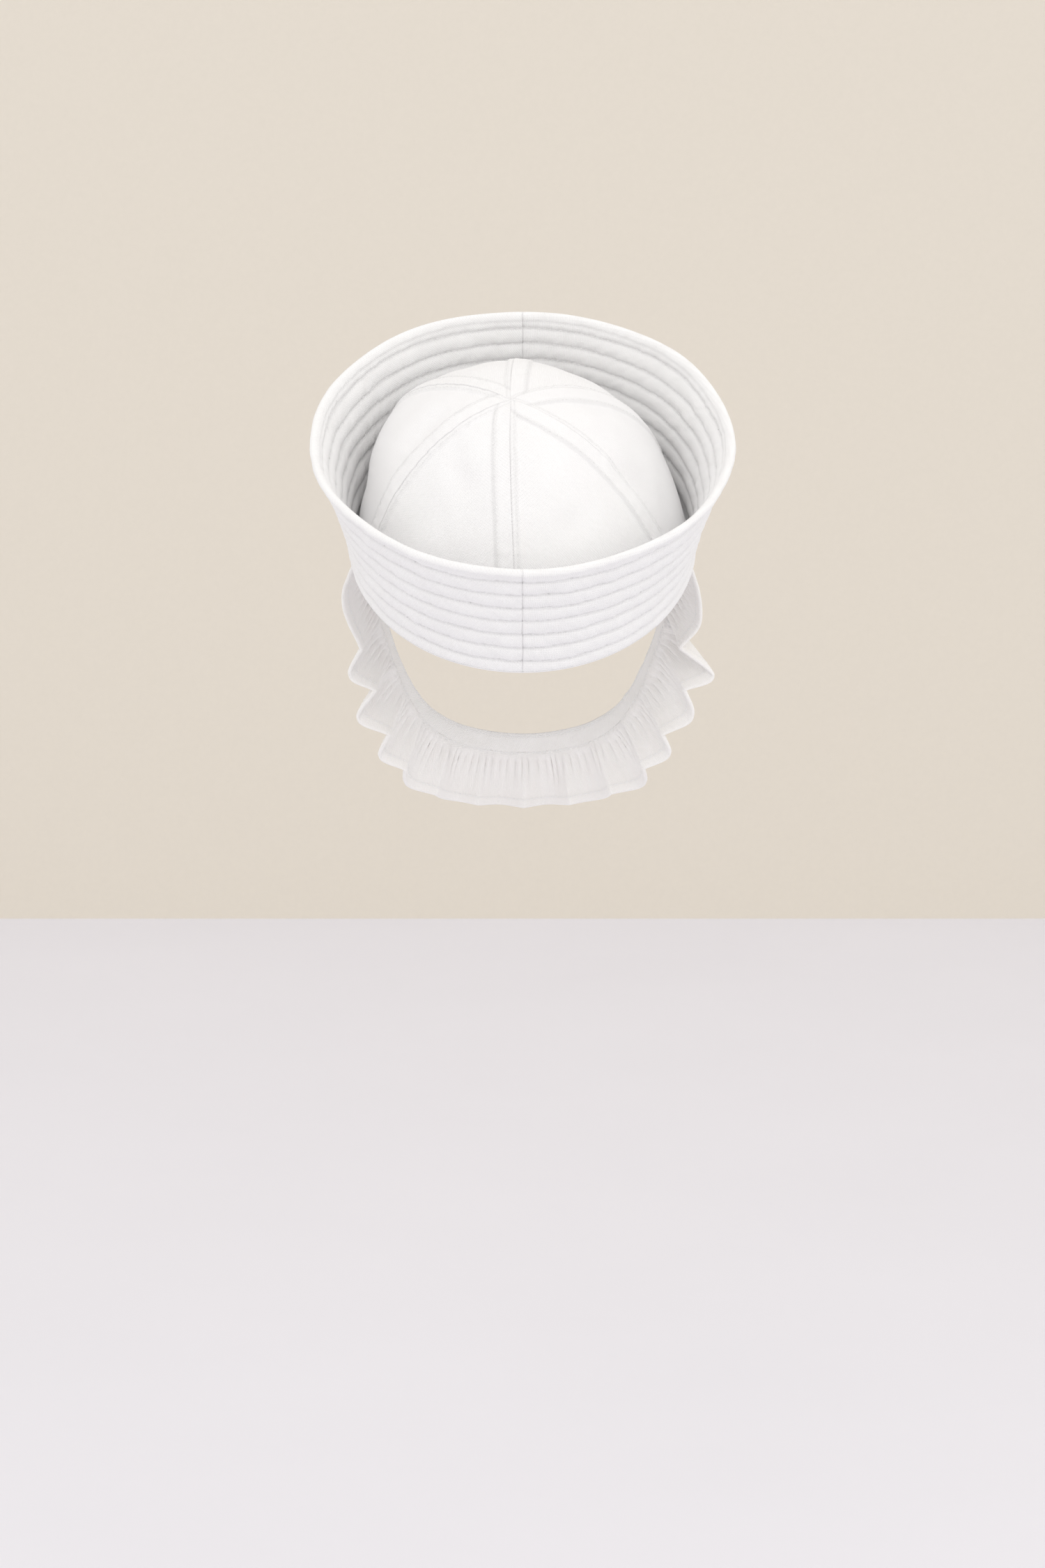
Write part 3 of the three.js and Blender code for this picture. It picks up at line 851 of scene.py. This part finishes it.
def strap_frame(distance):
    """Place, way along, way out from the neck, and way forward in the cloth of the strap."""
    place = along_route(distance)
    before, after = np.maximum(distance - 2, 0), np.minimum(distance + 2, ROUTE_LENGTH)
    ahead = unit(along_route(after) - along_route(before))
    out = place - np.array([0, NECK_AXIS_BACK, 0])
    out[..., 2] = 0
    out = unit(out)
    return place, ahead, out, unit(np.cross(out, ahead))


STRAP_WHITE = (0.95, 0.938, 0.92, 1)
STRAP_SHADE = (0.91, 0.895, 0.87, 1)
strap_cotton = cotton("strap_cotton", STRAP_WHITE, STRAP_SHADE, 0.95, 62, 14, 0.14)

strap_at = np.linspace(0, ROUTE_LENGTH, STRAP_COLUMNS)
place, ahead, out, front = (part[:, None] for part in strap_frame(strap_at))
back_share = np.linspace(0, 1, STRAP_ROWS)
across_strap = (STRAP_CLEAR + STRAP_WIDTH * back_share)[None, :, None]
round_edge = np.sqrt(np.clip(1 - (np.abs(2 * back_share - 1) ** 9), 0, 1))
from_front, from_back = STRAP_WIDTH * back_share, STRAP_WIDTH * (1 - back_share)
edge_rows = bump_line(from_front - EDGE_ROW_INSET, 0.7) + bump_line(from_back - EDGE_ROW_INSET, 0.7)
wrinkle = soft_noise(strap_at[:, None] / 4.5, 3 * back_share[None] + 0.05 * strap_at[:, None], 71)
half_thick = np.broadcast_to(STRAP_THICKNESS / 2 * round_edge - EDGE_ROW_DIP * edge_rows, wrinkle.shape)
middle = place - front * across_strap + out * (STRAP_WRINKLE * wrinkle)[..., None]
strap = cloth_shell(
    "strap_cloth_band",
    middle + out * half_thick[..., None],
    middle - out * half_thick[..., None],
    np.broadcast_to(from_front, wrinkle.shape),
    np.broadcast_to(strap_at[:, None], wrinkle.shape),
    STRAP_ROW_SHADE * edge_rows,
    strap_cotton,
)
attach(strap, "root")
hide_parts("strap")
strap_stitch_rows = []
for edge_share in (EDGE_ROW_INSET / STRAP_WIDTH, 1 - EDGE_ROW_INSET / STRAP_WIDTH):
    row = round(edge_share * (STRAP_ROWS - 1))
    for side in (1, -1):
        line = (middle + side * out * half_thick[..., None])[:, row]
        strap_stitch_rows.append((line, side * out[:, 0]))
stitching("strap_stitching", strap_stitch_rows)

# ---- Ruffle ----
# A strip of thinner cotton twill, hemmed along its free edge and gathered along the other, sewn to
# the strap's front edge. Its free edge is far longer than the strap, so it stands in deep waves.

RUFFLE_WIDTH = 28
RUFFLE_DROOP = math.radians(25)
RUFFLE_START = 20
RUFFLE_THICKNESS = 1.3
HEM_WIDTH = 6
HEM_RISE = 0.35
HEM_ROW = HEM_WIDTH - 1.2
HEM_ROW_DIP = 0.25
# How dark the painted shade along the hem's row of stitching is.
HEM_ROW_SHADE = 0.5
# The seam allowance that is caught between the strap's two layers.
TUCK = 2.5
TUCK_HALF_THICKNESS = 0.45
# The gathers hold the waves in near the seam: this share of a wave is there from HELD_SHARE onwards,
# and the rest of it grows across the cloth.
GATHER_SHARE = 0.12
HELD_SHARE = 0.1
GATHER_PITCH = 3.6
GATHER_DEPTH = 1.0
RUFFLE_WRINKLE = 0.5
RUFFLE_STEP = 0.62
RUFFLE_ROWS = 40
# Folds down each side: (distance along the strap from its end, how far the free edge stands out).
LEFT_FOLDS = [
    (20, 5),
    (37, 9),
    (66, 2),
    (76, 12),
    (88, 0),
    (98, 15),
    (111, 0),
    (120, 12),
    (130, 1),
    (140, 11),
]
RIGHT_FOLDS = [
    (20, 4),
    (48, 9),
    (66, 0),
    (73, 22),
    (85, 8),
    (96, 18),
    (110, 4),
    (118, 14),
    (129, 3),
    (139, 15),
]
# How far a wave sinks down the strap under its own weight, for each millimetre that it stands out.
WAVE_SINK = 0.42
CREASE_SHARPNESS = 0.7
NAPE_SPACING = 11
NAPE_VALLEY = 1
NAPE_PEAK = 10


def all_folds():
    """The folds of both sides, with even ones between them behind the nape."""
    right = [(ROUTE_LENGTH - along, stand) for along, stand in reversed(RIGHT_FOLDS)]
    start = LEFT_FOLDS[-1][0]
    span = right[0][0] - start
    halves = 2 * round(span / NAPE_SPACING / 2)
    nape = [(start + span * i / halves, NAPE_VALLEY if i % 2 else NAPE_PEAK) for i in range(1, halves)]
    return np.array(LEFT_FOLDS + nape + right)


folds = all_folds()


def fold_stand(along):
    """How far the free edge stands out: round waves with tight creases in the valleys."""
    after = np.clip(np.searchsorted(folds[:, 0], along), 1, len(folds) - 1)
    low, high = folds[after - 1], folds[after]
    share = np.clip((along - low[..., 0]) / (high[..., 0] - low[..., 0]), 0, 1)
    from_valley = np.where(low[..., 1] < high[..., 1], share, 1 - share)
    creased = np.sin(np.pi / 2 * from_valley)
    smooth = (1 - np.cos(np.pi * from_valley)) / 2
    rise = CREASE_SHARPNESS * creased + (1 - CREASE_SHARPNESS) * smooth
    valley, peak = np.minimum(low[..., 1], high[..., 1]), np.maximum(low[..., 1], high[..., 1])
    return valley + (peak - valley) * rise


def ruffle_point(along, share):
    """Points of the ruffle's middle, from its gathered edge, share 0, to its free edge, share 1."""
    place, ahead, out, front = strap_frame(along)
    fall = unit(front * math.cos(RUFFLE_DROOP) + np.array([0, 0, -math.sin(RUFFLE_DROOP)]))
    free = np.clip(share, 0, 1)
    held_in = GATHER_SHARE * np.clip(free / HELD_SHARE, 0, 1)
    wave = fold_stand(along) * (held_in + (1 - GATHER_SHARE) * free)
    phase = along / GATHER_PITCH + 0.35 * soft_noise(along / 5, np.zeros_like(along), 81)
    gather = GATHER_DEPTH * np.sin(2 * np.pi * phase) * (1 - free) ** 2 * np.minimum(1, 6 * free + 0.1)
    wrinkle = soft_noise(along / 6, 2.2 * share + along / 40, 82) * np.sin(np.pi * free * 0.9)
    stand = (wave + gather + RUFFLE_WRINKLE * wrinkle)[..., None]
    toward_nape = np.clip((ROUTE_LENGTH / 2 - along) / 30, -1, 1)
    sink = (WAVE_SINK * wave * free * toward_nape)[..., None]
    return place + fall * (RUFFLE_WIDTH * share)[..., None] + out * stand + ahead * sink


RUFFLE_WHITE = (0.97, 0.958, 0.94, 1)
RUFFLE_SHADE = (0.945, 0.925, 0.9, 1)
ruffle_cotton = cotton("ruffle_cotton", RUFFLE_WHITE, RUFFLE_SHADE, 0.9, 80, 16, 0.14)

# Columns stand evenly along the free edge as well as along the strap.
fine_at = np.arange(RUFFLE_START, ROUTE_LENGTH - RUFFLE_START, 0.2)
free_steps = np.abs(np.diff(fold_stand(fine_at))) + np.diff(fine_at)
free_travel = np.concatenate([[0], np.cumsum(free_steps)])
ruffle_at = np.interp(np.arange(0, free_travel[-1], RUFFLE_STEP), free_travel, fine_at)
tucked_rows = np.linspace(-TUCK / RUFFLE_WIDTH, 0, 4)[:-1]
shares = np.concatenate([tucked_rows, np.linspace(0, 1, RUFFLE_ROWS) ** 0.9])
along = np.broadcast_to(ruffle_at[:, None], (len(ruffle_at), len(shares)))
share = np.broadcast_to(shares, along.shape)
middle = ruffle_point(along, share)
normal = unit(np.cross(np.gradient(middle, axis=1), np.gradient(middle, axis=0)))
from_hem = RUFFLE_WIDTH * (1 - share)
hem = HEM_RISE * step_down(from_hem, HEM_WIDTH, 0.5)
round_free_edge = np.sqrt(np.clip(1 - (1 - np.clip(from_hem, 0, 1)) ** 2, 0.02, 1))
dip = HEM_ROW_DIP * bump_line(from_hem - HEM_ROW, 0.7)
half_thick = (RUFFLE_THICKNESS / 2 + hem - dip) * round_free_edge
half_thick = np.where(share <= 0, TUCK_HALF_THICKNESS, half_thick)
free_run = np.concatenate([[0], np.cumsum(np.linalg.norm(np.diff(middle[:, -1], axis=0), axis=1))])
ruffle = cloth_shell(
    "ruffle_cloth_sheet",
    middle + normal * half_thick[..., None],
    middle - normal * half_thick[..., None],
    RUFFLE_WIDTH * share,
    np.broadcast_to(free_run[:, None], along.shape),
    HEM_ROW_SHADE * bump_line(from_hem - HEM_ROW, 0.6),
    ruffle_cotton,
)
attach(ruffle, "root")
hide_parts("ruffle")
hem_row = int(np.argmin(np.abs(from_hem[0] - HEM_ROW)))
hem_lines = []
for side in (1, -1):
    line = (middle + side * normal * half_thick[..., None])[:, hem_row]
    hem_lines.append((line, side * normal[:, hem_row]))
stitching("ruffle_stitching", hem_lines)
